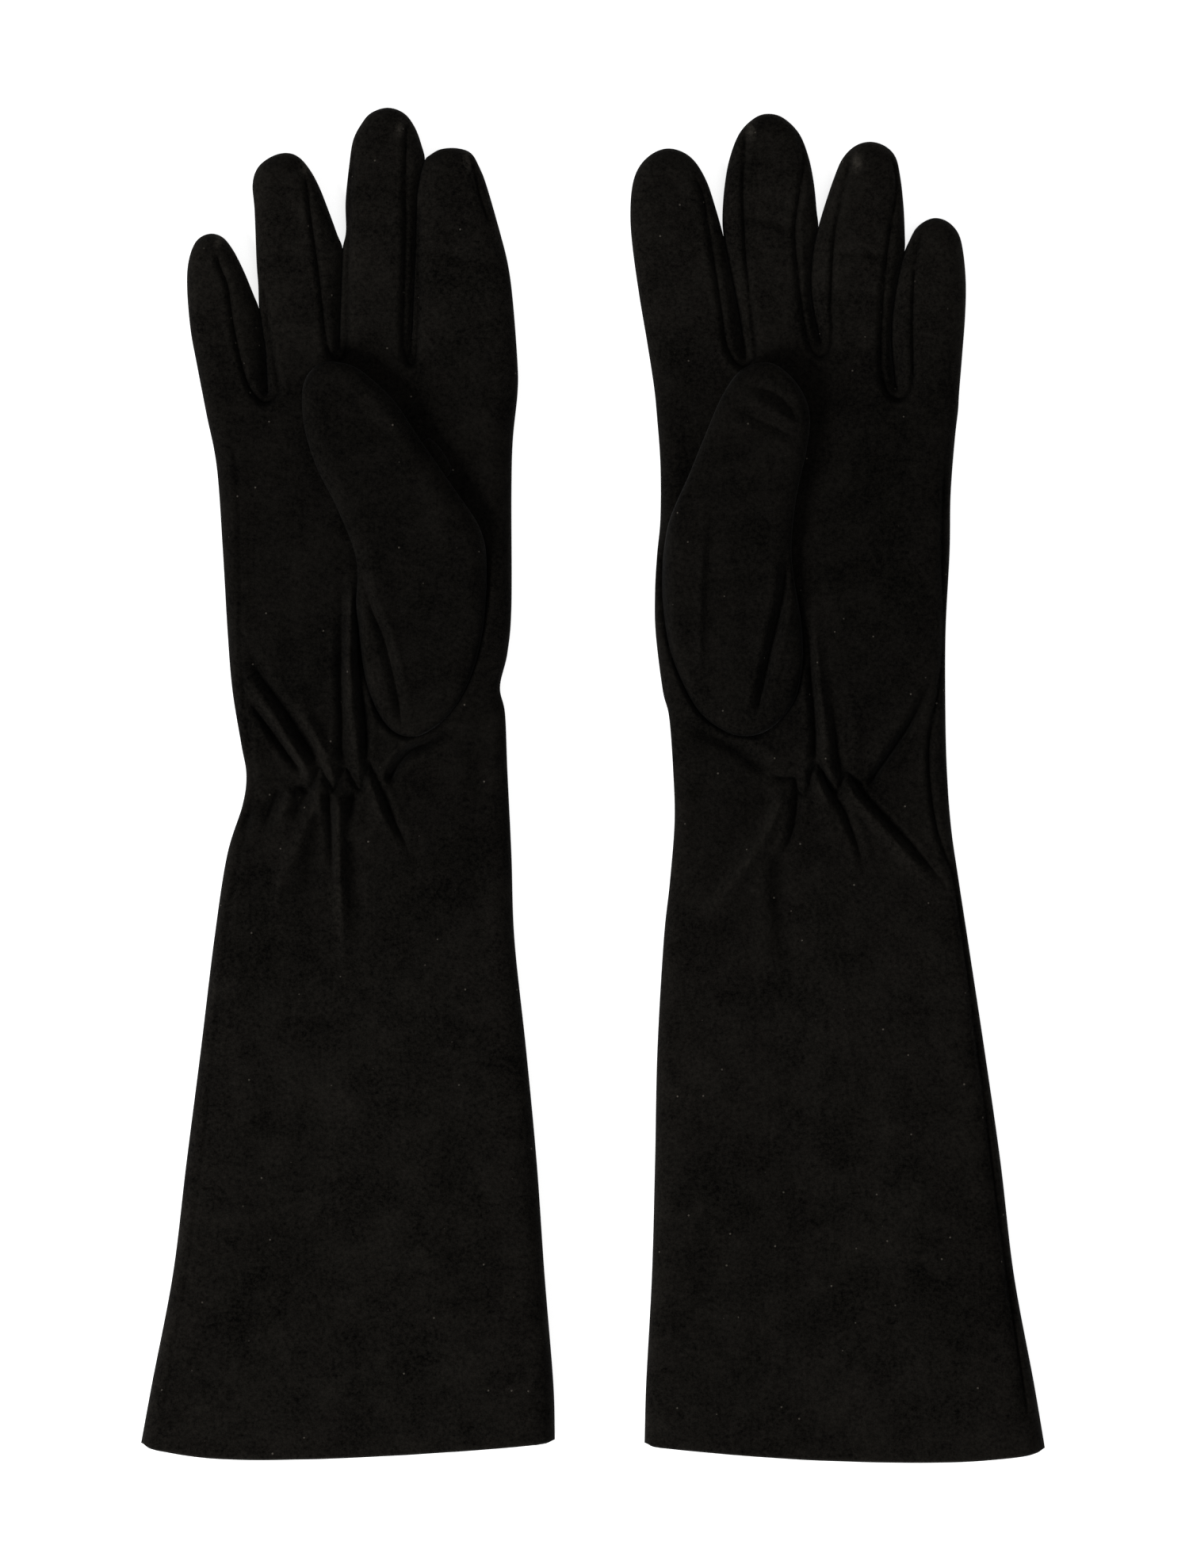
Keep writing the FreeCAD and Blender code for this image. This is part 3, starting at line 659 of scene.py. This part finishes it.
def nap_tone_and_painted_light(plan, vertices):
    """How light the nap is at each vertex: dark in the palm, with painted shade in the seams and the gathers'
    grooves, a painted highlight on the gathers' ridges, and lighter where it is worn, with a painted shine.
    """
    points = vertices[:, :2]
    tone = ARM_NAP + (PALM_NAP - ARM_NAP) * smooth_step(points[:, 1], *PALM_LEVELS)
    tone += (FINGER_NAP - PALM_NAP) * smooth_step(points[:, 1], *FINGER_LEVELS)
    # Painted shade in the gathers' grooves and a painted highlight on their ridges.
    for crease in plan.gathers:
        tone += PAINTED_LIGHT_PER_GATHER * crease.lift(points)
    # Painted shade along the seams and along the sewn-in edge of the thumb's lobe.
    for seam in plan.seams:
        tone += PAINTED_SHADE_PER_SEAM * seam.lift(points)
    tone += PAINTED_SHADE_PER_SEAM * plan.oval.lift(points) * plan.sewn(points)
    # Worn fingertips: lighter nap with a painted shine.
    for place in plan.place(WORN_SHINY_PLACES[plan.glove]):
        tone += WEAR_AND_SHINE * np.exp(-(((points - place) / WEAR_AND_SHINE_SIZE)**2).sum(1))
    return np.clip(tone, *NAP_RANGE)


def add_nap_and_painted_light(plan, piece):
    """Stores the nap's tone, with its painted shade and painted highlights, on a piece's vertices."""
    vertices = np.array([vertex.co for vertex in piece.data.vertices]) / MM
    # The nap attribute also carries painted shade and painted highlights.
    attribute = piece.data.attributes.new("nap", "FLOAT", "POINT")
    attribute.data.foreach_set("value", nap_tone_and_painted_light(plan, vertices).astype(np.float32))


def make_mesh(name, vertices, faces):
    mesh = bpy.data.meshes.new(name)
    mesh.from_pydata((vertices * MM).tolist(), [], [list(map(int, face)) for face in faces])
    mesh.validate()
    mesh.shade_smooth()
    piece = bpy.data.objects.new(name, mesh)
    bpy.context.scene.collection.objects.link(piece)
    return piece


# ---------------------------------------------------------------- pieces

COARSE = 2.1
FINE = 0.95
FINE_FROM = -62.0
ROOT_STEP = 1.2
RING_REACH = 6.5


def grid_fill(outline, rim, inward, creases, fine_from=-math.inf, slits=np.empty((0, 2))):
    """Triangles over an outline, fine above a level and coarser below it."""
    low, high = outline.min(0), outline.max(0)
    rings = rim_rings(rim, inward, RING_REACH)
    features = np.vstack([slits] + [crease.mesh_points() for crease in creases])
    fine_low = (low[0], max(low[1], fine_from))
    grids = [(hex_grid(fine_low, high, FINE), GRID_GAP * FINE),
             (hex_grid(low, high, COARSE), GRID_GAP * COARSE)]
    return fill(outline, rings, features, grids)


def make_trank(plan):
    """The arm and the hand: one skin, folded at the index side, with an opening where each finger starts."""
    outline, slits = [], []
    position = 0
    for finger in FINGERS:
        first, last = plan.stretches[finger]
        between = plan.rim[position:first + 1]
        if position:
            fork = between[:, 1].argmin()
            slits.append(between[1:fork + 1])
            between = between[fork:]
            between = between[between[:, 1] > plan.rim[position, 1] + 0.5]
        root = straight(plan.rim[first], plan.rim[last], ROOT_STEP)
        outline += [between, root, plan.rim[last:last + 1]]
        position = last
    outline = np.vstack(outline + [plan.rim[position + 1:], plan.hem])
    creases = plan.seams + plan.gathers + [plan.oval]
    points, triangles = grid_fill(outline, plan.rim, plan.inward, creases, FINE_FROM, np.vstack(slits))
    top, bottom = plan.heights(points, plan.rim)
    top += plan.oval.lift(points) * plan.sewn(points)
    vertices, faces = two_sheets(points, triangles, top, bottom, plan.rim)
    vertices, faces = add_lining(vertices, faces, np.vstack([plan.rim[-1], plan.hem, plan.rim[0]]))
    return make_mesh(f"{plan.glove}_trank", vertices, faces)


SKIN = 1.0
HEM_SKIN = 1.9
HEM_TOP = -187.0
HEM_STEP = 0.8
LIP = 0.4
LINING_TOP = -118.0


def vertex_normals(vertices, faces):
    a, b, c = (vertices[faces[:, k]] for k in range(3))
    across = np.cross(b - a, c - a)
    normals = np.zeros_like(vertices)
    for k in range(3):
        np.add.at(normals, faces[:, k], across)
    return normals / np.maximum(np.linalg.norm(normals, axis=1), 1e-9)[:, None]


def add_lining(vertices, faces, hem):
    """The inside of the cuff, as deep as it can be seen, and the rounded edge of the hem."""
    above_hem = smooth_step(vertices[:, 1], HEM_TOP - HEM_STEP, HEM_TOP + HEM_STEP)
    skin = HEM_SKIN - (HEM_SKIN - SKIN) * above_hem
    inner = vertices - vertex_normals(vertices, faces) * skin[:, None]
    lined = faces[(vertices[faces, 1] < LINING_TOP).all(1)]
    used = np.unique(lined)
    inner_of = np.full(len(vertices), -1)
    inner_of[used] = len(vertices) + np.arange(len(used))
    gap, _ = follow(vertices[:, :2], hem)
    sides = np.vstack([lined[:, (0, 1)], lined[:, (1, 2)], lined[:, (2, 0)]])
    pairs = {tuple(side) for side in sides[(gap[sides] < 1e-3).all(1)]}
    edge = [(i, j) for i, j in sorted(pairs) if (j, i) not in pairs]
    lip = vertices + (inner - vertices) / 2 - np.outer(LIP * skin, (0, 1, 0))
    ends = sorted({i for pair in edge for i in pair})
    lip_of = {i: len(vertices) + len(used) + n for n, i in enumerate(ends)}
    made = np.vstack([vertices, inner[used], lip[sorted(lip_of)]])
    quads = []
    for i, j in edge:
        quads.append((j, i, lip_of[i], lip_of[j]))
        quads.append((lip_of[j], lip_of[i], inner_of[i], inner_of[j]))
    return made, faces.tolist() + inner_of[lined[:, ::-1]].tolist() + quads


TONGUE = 6.0
TONGUE_INSET = 1.6
TONGUE_SINK = 0.12
RIM_OVERLAP = 12


def make_finger(plan, finger):
    """A finger from inside the hand to its tip. The part inside the hand lies just under the hand's skin."""
    first, last = plan.stretches[finger]
    rim = plan.rim[first:last + 1]
    step_in = np.array([TONGUE_INSET * np.sign(rim[-1, 0] - rim[0, 0]), 0])
    down = np.array([0, TONGUE])
    corners = [rim[-1] - step_in, rim[-1] - step_in - down, rim[0] + step_in - down, rim[0] + step_in]
    outline = [rim]
    for start, end in zip([rim[-1]] + corners, corners + [rim[0]]):
        outline += [straight(start, end, ROOT_STEP), end[None]]
    outline = np.vstack(outline[:-1])
    points, triangles = grid_fill(outline, rim, plan.inward, plan.seams, FINE_FROM)
    top, bottom = plan.heights(points, plan.rim[max(first - RIM_OVERLAP, 0):last + RIM_OVERLAP])
    sink = np.where(points[:, 1] < plan.root_level(finger) - 0.01, TONGUE_SINK, 0)
    vertices, faces = two_sheets(points, triangles, top - sink, bottom + sink, rim)
    return make_mesh(f"{plan.glove}_{finger}_finger", vertices, faces)


# Along the thumb from its joint: place, thickness, and how far in its rolled edge reaches.
THUMB_LEVELS = (-50, -30, -10, 5, 20, 45, 65)
THUMB_THICKNESS = (1.6, 2.8, 4.6, 6.4, 7.6, 8.2, 7.4)
THUMB_REACH = (3.5, 4.5, 5.5, 6.0, 6.5, 6.5, 6.0)

# Where the thumb comes free of the palm, how far its rim and its underside rise there, and how far they
# sink into the palm where it is sewn in.
THUMB_FREE = (-14, 14)
FREE_RISE = 0.4
FREE_GAP = 0.3
SEWN_SINK = 0.7
SEWN_DEPTH = 1.2
THUMB_LEAST = 0.4


def thumb_axis(glove):
    """The way the thumb points, square to its joint's axis."""
    x, y, _ = JOINTS[f"{glove}_thumb_lift"]["axis"]
    return np.array([-y, x])


def make_thumb(plan):
    """The thumb: a lobe sewn into the palm that becomes a tube lying on it."""
    rim = np.vstack([plan.thumb_rim, plan.thumb_rim[:1]])
    creases = [Crease(np.array(points) + plan.thumb, width, height, fade=THUMB_FADE)
               for points, width, height in THUMB_CREASES[plan.glove]]
    points, triangles = grid_fill(plan.thumb_rim, rim, -1.0, creases)
    along = (points - plan.thumb) @ thumb_axis(plan.glove)
    distance, _ = follow(points, rim)
    reach = np.interp(along, THUMB_LEVELS, THUMB_REACH)
    share = np.sqrt(1 - (1 - np.clip(distance / reach, 0, 1))**2)
    thickness = np.interp(along, THUMB_LEVELS, THUMB_THICKNESS)
    free = smooth_step(along, *THUMB_FREE)
    palm, _ = plan.heights(points, plan.rim)
    rise = (RIM_SHARE * thickness + FREE_RISE) * free - SEWN_SINK * (1 - free)
    lift = sum(crease.lift(points) for crease in creases) + ripples(points + (300, 0))
    top = palm + rise + (thickness - rise + lift) * share
    bottom = palm + rise * (1 - share) + FREE_GAP * free - SEWN_DEPTH * (1 - free)
    vertices, faces = two_sheets(points, triangles, top, np.minimum(bottom, top - THUMB_LEAST), rim)
    return make_mesh(f"{plan.glove}_thumb", vertices, faces)


STRIP_GRID = 0.9
STRIP_GAP = 0.6

# Thickness of each strip, and its rise over the skin.
TAPE = (0.9, -1.95)
SEAM_TAB = (0.8, 2.2)

# The outline of a scrap of seam allowance at the right-hand thumb's edge, about the thumb's joint.
SEAM_TAB_EDGE = [(-0.8, 35.8), (0.6, 38.6), (2.4, 39.4), (5.2, 37.0), (8.2, 32.4), (8.8, 29.6), (6.2, 27.4),
                 (2.4, 31.4)]


def make_strip(plan, name, rim, thickness, rise):
    """A thin strip that follows the palm side of the glove, above it or, with a rise less than 0, inside."""
    closed = np.vstack([rim, rim[:1]])
    grid = hex_grid(rim.min(0), rim.max(0), STRIP_GRID)
    points, triangles = fill(rim, np.empty((0, 2)), np.empty((0, 2)), [(grid, STRIP_GAP * STRIP_GRID)])
    skin, _ = plan.heights(points, plan.rim)
    distance, _ = follow(points, closed)
    half = thickness / 2 * np.sqrt(np.clip(distance, 0, 1))
    middle = skin + rise
    vertices, faces = two_sheets(points, triangles, middle + half, middle - half, closed)
    return make_mesh(name, vertices, faces)


def make_tape(plan):
    """The elastic inside the palm side of the wrist, sewn to the skin that it gathers."""
    low, high = (np.array(corner)[:2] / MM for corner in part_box(f"{plan.glove}_wrist_elastic"))
    corners = [low, (high[0], low[1]), high, (low[0], high[1])]
    rim = []
    for start, end in zip(corners, corners[1:] + corners[:1]):
        rim += [np.array(start)[None], straight(start, end, 1.0)]
    return make_strip(plan, f"{plan.glove}_wrist_tape", np.vstack(rim), *TAPE)


def make_seam_tab(plan):
    """The scrap of seam allowance that sticks out beside the right-hand thumb."""
    rim = smooth_path(np.array(SEAM_TAB_EDGE) + plan.thumb, closed=True)
    return make_strip(plan, f"{plan.glove}_thumb_seam_tab", rim, *SEAM_TAB)


# ---------------------------------------------------------------- materials


def new_material(name):
    material = bpy.data.materials.new(name)
    material.use_nodes = True
    nodes = material.node_tree.nodes
    return material, nodes, material.node_tree.links, nodes["Principled BSDF"]


def noise_node(nodes, links, coordinates, scale, detail, roughness):
    node = nodes.new("ShaderNodeTexNoise")
    node.inputs["Scale"].default_value = scale
    node.inputs["Detail"].default_value = detail
    node.inputs["Roughness"].default_value = roughness
    links.new(coordinates, node.inputs["Vector"])
    return node.outputs["Fac"]


def ranged(nodes, links, value, from_range, to_range):
    """A value carried from one range to another, and held inside it."""
    node = nodes.new("ShaderNodeMapRange")
    names = ("From Min", "From Max", "To Min", "To Max")
    for name, number in zip(names, from_range + to_range):
        node.inputs[name].default_value = number
    links.new(value, node.inputs["Value"])
    return node.outputs["Result"]


def combined(nodes, links, operation, a, b):
    """Two values joined by an operation."""
    node = nodes.new("ShaderNodeMath")
    node.operation = operation
    for socket, value in zip(node.inputs, (a, b)):
        if isinstance(value, (int, float)):
            socket.default_value = value
        else:
            links.new(value, socket)
    return node.outputs["Value"]


SUEDE = (0.0073, 0.0065, 0.0054)
# Scale of each cloud of the nap (per metre), its detail, and how much it changes the tone.
CLOUDS = ((30, 3, 1.2), (90, 4, 1.7), (850, 2, 2.2), (2000, 2, 1.8))
LINT_SCALE = 150.0
LINT_SIZE = (0.030, 0.050)
LINT_TONE = 9.0
CLOUD_ROUGHNESS = 0.6
CLOUD_RANGE = (0.15, 3.0)
# Scale, detail and roughness of the two grains of the bump.
NAP_GRAIN = (2600, 4, 0.7)
PILE_GRAIN = (420, 3, 0.55)


def suede_material():
    """Black suede: a short nap whose tone shifts in soft clouds, with a fine grain, and with painted shade in
    the seams and gathers and painted highlights from the nap attribute.
    """
    material, nodes, links, shader = new_material("black_suede")
    coordinates = nodes.new("ShaderNodeTexCoord").outputs["Object"]
    clouds = 1.0
    for scale, detail, strength in CLOUDS:
        cloud = noise_node(nodes, links, coordinates, scale, detail, CLOUD_ROUGHNESS)
        share = combined(nodes, links, "MULTIPLY", combined(nodes, links, "SUBTRACT", cloud, 0.5), strength)
        clouds = combined(nodes, links, "ADD", share, clouds)
    # The nap attribute carries painted shade in seams and gathers and painted highlights, as well as the
    # nap's tone.
    attribute = nodes.new("ShaderNodeAttribute")
    attribute.attribute_name = "nap"
    clouds = ranged(nodes, links, clouds, CLOUD_RANGE, CLOUD_RANGE)
    tone = combined(nodes, links, "MULTIPLY", clouds, attribute.outputs["Fac"])
    cells = nodes.new("ShaderNodeTexVoronoi")
    cells.inputs["Scale"].default_value = LINT_SCALE
    links.new(coordinates, cells.inputs["Vector"])
    lint = ranged(nodes, links, cells.outputs["Distance"], LINT_SIZE, (LINT_TONE, 0.0))
    tone = combined(nodes, links, "ADD", tone, lint)
    colour = nodes.new("ShaderNodeVectorMath")
    colour.operation = "SCALE"
    colour.inputs[0].default_value = SUEDE
    links.new(tone, colour.inputs["Scale"])
    links.new(colour.outputs["Vector"], shader.inputs["Base Color"])
    shader.inputs["Roughness"].default_value = 1.0
    shader.inputs["Specular IOR Level"].default_value = 0.03
    shader.inputs["Sheen Weight"].default_value = 0.02
    shader.inputs["Sheen Roughness"].default_value = 0.4
    nap = noise_node(nodes, links, coordinates, *NAP_GRAIN)
    pile = noise_node(nodes, links, coordinates, *PILE_GRAIN)
    height = combined(nodes, links, "ADD", nap, combined(nodes, links, "MULTIPLY", pile, 2.0))
    bump = nodes.new("ShaderNodeBump")
    bump.inputs["Strength"].default_value = 0.55
    bump.inputs["Distance"].default_value = 0.00025
    links.new(height, bump.inputs["Height"])
    links.new(bump.outputs["Normal"], shader.inputs["Normal"])
    return material


def tape_material():
    """Black elastic tape: cords along it, crossed by a fine weave."""
    material, nodes, links, shader = new_material("elastic_tape")
    coordinates = nodes.new("ShaderNodeTexCoord").outputs["Object"]
    height = 0.0
    for direction, scale in (("Y", 1000), ("X", 1600)):
        wave = nodes.new("ShaderNodeTexWave")
        wave.bands_direction = direction
        wave.inputs["Scale"].default_value = scale
        links.new(coordinates, wave.inputs["Vector"])
        height = combined(nodes, links, "ADD", height, wave.outputs["Fac"])
    shader.inputs["Base Color"].default_value = (0.012, 0.012, 0.012, 1)
    shader.inputs["Roughness"].default_value = 0.8
    bump = nodes.new("ShaderNodeBump")
    bump.inputs["Distance"].default_value = 0.0002
    links.new(height, bump.inputs["Height"])
    links.new(bump.outputs["Normal"], shader.inputs["Normal"])
    return material


# ---------------------------------------------------------------- studio


# Place, size and power of each light.
KEY_LIGHT = ((-1.1, -0.9, 0.95), 0.55, 26)
FILL_LIGHT = ((0.7, 0.5, 1.8), 1.2, 5)


def make_floor():
    """White paper, lit from behind as well, so that it stays white around the gloves."""
    bpy.ops.mesh.primitive_plane_add(size=8, location=(0, 0, 0))
    floor = bpy.context.object
    floor.name = "floor"
    material, nodes, links, shader = new_material("floor_paper")
    shader.inputs["Base Color"].default_value = (0.85, 0.85, 0.85, 1)
    shader.inputs["Roughness"].default_value = 0.9
    shader.inputs["Emission Color"].default_value = (1, 1, 1, 1)
    shader.inputs["Emission Strength"].default_value = 0.8
    floor.data.materials.append(material)


def area_light(name, place, size, power):
    data = bpy.data.lights.new(name, "AREA")
    data.energy = power
    data.size = size
    light = bpy.data.objects.new(name, data)
    light.location = place
    light.rotation_euler = (-Vector(place)).to_track_quat("-Z", "Y").to_euler()
    bpy.context.scene.collection.objects.link(light)


def make_studio():
    scene = bpy.context.scene
    scene.view_settings.view_transform = "Standard"
    world = bpy.data.worlds.new("studio")
    world.use_nodes = True
    world.node_tree.nodes["Background"].inputs["Color"].default_value = (1, 1, 1, 1)
    world.node_tree.nodes["Background"].inputs["Strength"].default_value = 0.22
    scene.world = world
    area_light("key", *KEY_LIGHT)
    area_light("fill", *FILL_LIGHT)


CAMERA_CENTRE = (0.0002, -0.0008)
CAMERA_DISTANCE = 2.5
FOCUS_HEIGHT = 0.0045
VIEW_WIDTH = 0.3525
IMAGE_SIZE = (1500, 1978)
SENSOR = 36.0


def make_camera():
    """Straight above the pair, far enough away to see it with almost no perspective."""
    data = bpy.data.cameras.new("camera")
    data.sensor_width = SENSOR
    view_height = VIEW_WIDTH * IMAGE_SIZE[1] / IMAGE_SIZE[0]
    data.lens = SENSOR * (CAMERA_DISTANCE - FOCUS_HEIGHT) / view_height
    camera = bpy.data.objects.new("camera", data)
    camera.location = (*CAMERA_CENTRE, CAMERA_DISTANCE)
    bpy.context.scene.collection.objects.link(camera)
    bpy.context.scene.camera = camera


# ---------------------------------------------------------------- assembly

BODIES = frame["record"]["behaviour"]["bodies"]
BLEND_REACH = 14.0
THUMB_BLEND = (-6.0, 12.0)


def across_joint(plan, piece, joint, start, end):
    """Bakes a piece's placement into its mesh, without bending it."""
    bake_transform(piece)


def build_glove(glove, suede, tape_fabric):
    plan = Plan(glove)
    hand = f"{glove}_hand"
    trank = make_trank(plan)
    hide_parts(f"{glove}_arm_palm_skin", f"{glove}_arm_back_skin",
                f"{hand}_palm_skin", f"{hand}_back_skin")
    across_joint(plan, trank, f"{glove}_wrist_fold", -BLEND_REACH, BLEND_REACH)
    pieces = [trank]
    for finger in FINGERS:
        piece = make_finger(plan, finger)
        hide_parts(*BODIES[f"{glove}_{finger}"])
        rise = LITTLE_ROOT_RISE if finger == "little" else ROOT_RISE
        across_joint(plan, piece, f"{glove}_{finger}_fold", rise, rise + BLEND_REACH)
        pieces.append(piece)
    thumb = make_thumb(plan)
    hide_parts(*BODIES[f"{glove}_thumb"], f"{glove}_thumb_base_skin")
    across_joint(plan, thumb, f"{glove}_thumb_lift", *THUMB_BLEND)
    pieces.append(thumb)
    if glove == "right":
        tab = make_seam_tab(plan)
        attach(tab, f"{glove}_thumb")
        pieces.append(tab)
    for piece in pieces:
        add_nap_and_painted_light(plan, piece)
        piece.data.materials.append(suede)
    tape = make_tape(plan)
    tape.data.materials.append(tape_fabric)
    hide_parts(f"{glove}_wrist_elastic")
    across_joint(plan, tape, f"{glove}_wrist_fold", -BLEND_REACH, BLEND_REACH)


make_camera()
make_studio()
make_floor()
black_suede = suede_material()
elastic_fabric = tape_material()
for glove_name in GLOVES:
    build_glove(glove_name, black_suede, elastic_fabric)
